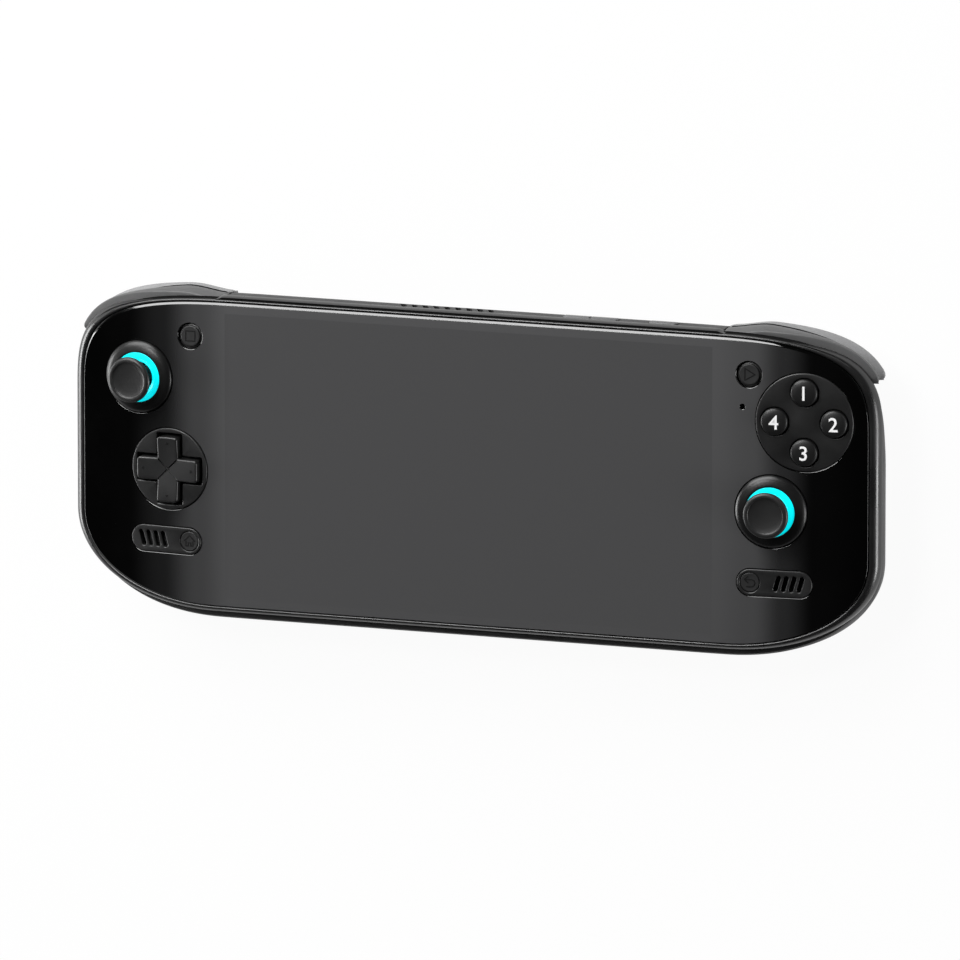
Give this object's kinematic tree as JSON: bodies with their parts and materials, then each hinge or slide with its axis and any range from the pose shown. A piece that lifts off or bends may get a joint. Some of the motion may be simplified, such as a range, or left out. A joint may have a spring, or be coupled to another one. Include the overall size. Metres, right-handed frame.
{
  "type": "handheld game console",
  "caption": "Wide handheld game console with a bent glass front, thumb sticks with light rings, direction pad, face buttons, bumpers, triggers and grips.",
  "frame": {"origin": "middle of the footprint, on the plane of the grips' flat feet", "axes": "+X to the right, +Y to the shoulder buttons, +Z out of the screen"},
  "size_m": [0.2198, 0.0861, 0.0268],
  "materials": {
    "glass_black": "polished dark cover glass, dark grey over the screen and black at the ends",
    "screen": "unlit display",
    "frame_metal": "satin dark coating",
    "shell_black": "fine grained",
    "key_grey": "satin",
    "trigger_grey": "satin",
    "control_black": "satin",
    "plate_black": "semi gloss",
    "light_cyan": "lit light guide",
    "stick_rubber": "soft touch",
    "membrane_rubber": "silicone",
    "inner_plastic": "moulded",
    "steel": "bright",
    "board_green": "solder mask",
    "battery_foil": "foil wrap",
    "copper": "bare"
  },
  "bodies": {
    "console": {"front_glass": "glass_black", "display_panel": "screen", "mid_frame": "frame_metal", "rear_shell": "shell_black", "rear_screws": "steel", "left_stick_bezel": "plate_black", "left_stick_ring": "light_cyan", "left_stick_base": "inner_plastic", "right_stick_bezel": "plate_black", "right_stick_ring": "light_cyan", "right_stick_base": "inner_plastic", "dpad_plate": "plate_black", "dpad_membrane": "membrane_rubber", "face_plate": "plate_black", "face_membrane": "membrane_rubber", "left_grille": "plate_black", "right_grille": "plate_black", "left_speaker": "inner_plastic", "right_speaker": "inner_plastic", "bumper_pins": "steel", "trigger_pins": "steel", "trigger_springs": "steel", "volume_pin": "steel", "side_key_board": "board_green", "tact_switches": "inner_plastic", "left_control_board": "board_green", "right_control_board": "board_green", "main_board": "board_green", "processor": "inner_plastic", "battery": "battery_foil", "fan_housing": "inner_plastic", "heat_sink": "copper", "usb_port": "steel", "usb_board": "board_green", "vibration_motors": "steel", "microphone": "steel"},
    "left_stick_yoke": {"left_stick_yoke": "steel"},
    "left_stick_shaft": {"left_stick_shaft": "steel"},
    "left_stick_cap": {"left_stick_cap": "stick_rubber"},
    "right_stick_yoke": {"right_stick_yoke": "steel"},
    "right_stick_shaft": {"right_stick_shaft": "steel"},
    "right_stick_cap": {"right_stick_cap": "stick_rubber"},
    "dpad_pivot": {"dpad_pivot": "steel"},
    "dpad_cross": {"dpad_cross": "control_black"},
    "face_button_top": {"face_button_top": "control_black"},
    "face_button_left": {"face_button_left": "control_black"},
    "face_button_right": {"face_button_right": "control_black"},
    "face_button_bottom": {"face_button_bottom": "control_black"},
    "select_button": {"select_button": "control_black"},
    "start_button": {"start_button": "control_black"},
    "home_button": {"home_button": "control_black"},
    "back_button": {"back_button": "control_black"},
    "left_bumper": {"left_bumper": "key_grey"},
    "right_bumper": {"right_bumper": "key_grey"},
    "left_trigger": {"left_trigger": "trigger_grey"},
    "right_trigger": {"right_trigger": "trigger_grey"},
    "volume_rocker": {"volume_rocker": "key_grey"},
    "power_button": {"power_button": "key_grey"},
    "fan_rotor": {"fan_rotor": "inner_plastic"}
  },
  "joints": [
    {"name": "left_stick_up_down", "type": "hinge", "parent": "console", "child": "left_stick_yoke", "pos_m": [-0.09012, 0.01905, 0.01472], "axis": [0.993, 0, 0.1179], "range_deg": [-12, 12], "stiffness_Nm_per_rad": 0.012},
    {"name": "left_stick_left_right", "type": "hinge", "parent": "left_stick_yoke", "child": "left_stick_shaft", "pos_m": [-0.09012, 0.01905, 0.01472], "axis": [0, 1, 0], "range_deg": [-12, 12], "stiffness_Nm_per_rad": 0.012},
    {"name": "left_stick_click", "type": "slide", "parent": "left_stick_shaft", "child": "left_stick_cap", "axis": [-0.1179, 0, 0.993], "range_m": [-0.0005, 0], "stiffness_N_per_m": 6000},
    {"name": "right_stick_up_down", "type": "hinge", "parent": "console", "child": "right_stick_yoke", "pos_m": [0.08162, -0.00445, 0.01558], "axis": [0.9964, 0, -0.0846], "range_deg": [-12, 12], "stiffness_Nm_per_rad": 0.012},
    {"name": "right_stick_left_right", "type": "hinge", "parent": "right_stick_yoke", "child": "right_stick_shaft", "pos_m": [0.08162, -0.00445, 0.01558], "axis": [0, 1, 0], "range_deg": [-12, 12], "stiffness_Nm_per_rad": 0.012},
    {"name": "right_stick_click", "type": "slide", "parent": "right_stick_shaft", "child": "right_stick_cap", "axis": [0.0846, 0, 0.9964], "range_m": [-0.0005, 0], "stiffness_N_per_m": 6000},
    {"name": "dpad_up_down", "type": "hinge", "parent": "console", "child": "dpad_pivot", "pos_m": [-0.08168, -0.00445, 0.01633], "axis": [0.9964, 0, 0.0846], "range_deg": [-5, 5], "stiffness_Nm_per_rad": 0.12},
    {"name": "dpad_left_right", "type": "hinge", "parent": "dpad_pivot", "child": "dpad_cross", "pos_m": [-0.08168, -0.00445, 0.01633], "axis": [0, 1, 0], "range_deg": [-5, 5], "stiffness_Nm_per_rad": 0.12},
    {"name": "face_top_press", "type": "slide", "parent": "console", "child": "face_button_top", "axis": [0.1179, 0, 0.993], "range_m": [-0.0012, 0], "stiffness_N_per_m": 1250},
    {"name": "face_left_press", "type": "slide", "parent": "console", "child": "face_button_left", "axis": [0.1179, 0, 0.993], "range_m": [-0.0012, 0], "stiffness_N_per_m": 1250},
    {"name": "face_right_press", "type": "slide", "parent": "console", "child": "face_button_right", "axis": [0.1179, 0, 0.993], "range_m": [-0.0012, 0], "stiffness_N_per_m": 1250},
    {"name": "face_bottom_press", "type": "slide", "parent": "console", "child": "face_button_bottom", "axis": [0.1179, 0, 0.993], "range_m": [-0.0012, 0], "stiffness_N_per_m": 1250},
    {"name": "select_press", "type": "slide", "parent": "console", "child": "select_button", "axis": [-0.0619, 0, 0.9981], "range_m": [-0.0004, 0], "stiffness_N_per_m": 3750},
    {"name": "start_press", "type": "slide", "parent": "console", "child": "start_button", "axis": [0.0619, 0, 0.9981], "range_m": [-0.0004, 0], "stiffness_N_per_m": 3750},
    {"name": "home_press", "type": "slide", "parent": "console", "child": "home_button", "axis": [-0.0883, 0, 0.9961], "range_m": [-0.0004, 0], "stiffness_N_per_m": 3750},
    {"name": "back_press", "type": "slide", "parent": "console", "child": "back_button", "axis": [0.0883, 0, 0.9961], "range_m": [-0.0004, 0], "stiffness_N_per_m": 3750},
    {"name": "left_bumper_press", "type": "hinge", "parent": "console", "child": "left_bumper", "pos_m": [-0.071, 0.03925, 0.01512], "axis": [0, 0, 1], "range_deg": [0, 1.5], "stiffness_Nm_per_rad": 1.5},
    {"name": "right_bumper_press", "type": "hinge", "parent": "console", "child": "right_bumper", "pos_m": [0.071, 0.03925, 0.01512], "axis": [0, 0, 1], "range_deg": [-1.5, 0], "stiffness_Nm_per_rad": 1.5},
    {"name": "left_trigger_pull", "type": "hinge", "parent": "console", "child": "left_trigger", "pos_m": [-0.08573, 0.03293, 0.0094], "axis": [0.951, 0.3093, 0], "range_deg": [-15, 0], "stiffness_Nm_per_rad": 0.06},
    {"name": "right_trigger_pull", "type": "hinge", "parent": "console", "child": "right_trigger", "pos_m": [0.08573, 0.03293, 0.0094], "axis": [0.951, -0.3093, 0], "range_deg": [-15, 0], "stiffness_Nm_per_rad": 0.06},
    {"name": "volume_rock", "type": "hinge", "parent": "console", "child": "volume_rocker", "pos_m": [0.0311, 0.0379, 0.0139], "axis": [0, 0, 1], "range_deg": [-2.2, 2.2], "stiffness_Nm_per_rad": 0.26},
    {"name": "power_press", "type": "slide", "parent": "console", "child": "power_button", "axis": [0, 1, 0], "range_m": [-0.0004, 0], "stiffness_N_per_m": 4000},
    {"name": "fan_spin", "type": "hinge", "parent": "console", "child": "fan_rotor", "pos_m": [-0.009, 0.01665, 0.0115], "axis": [0, 0, 1], "continuous": true}
  ]
}
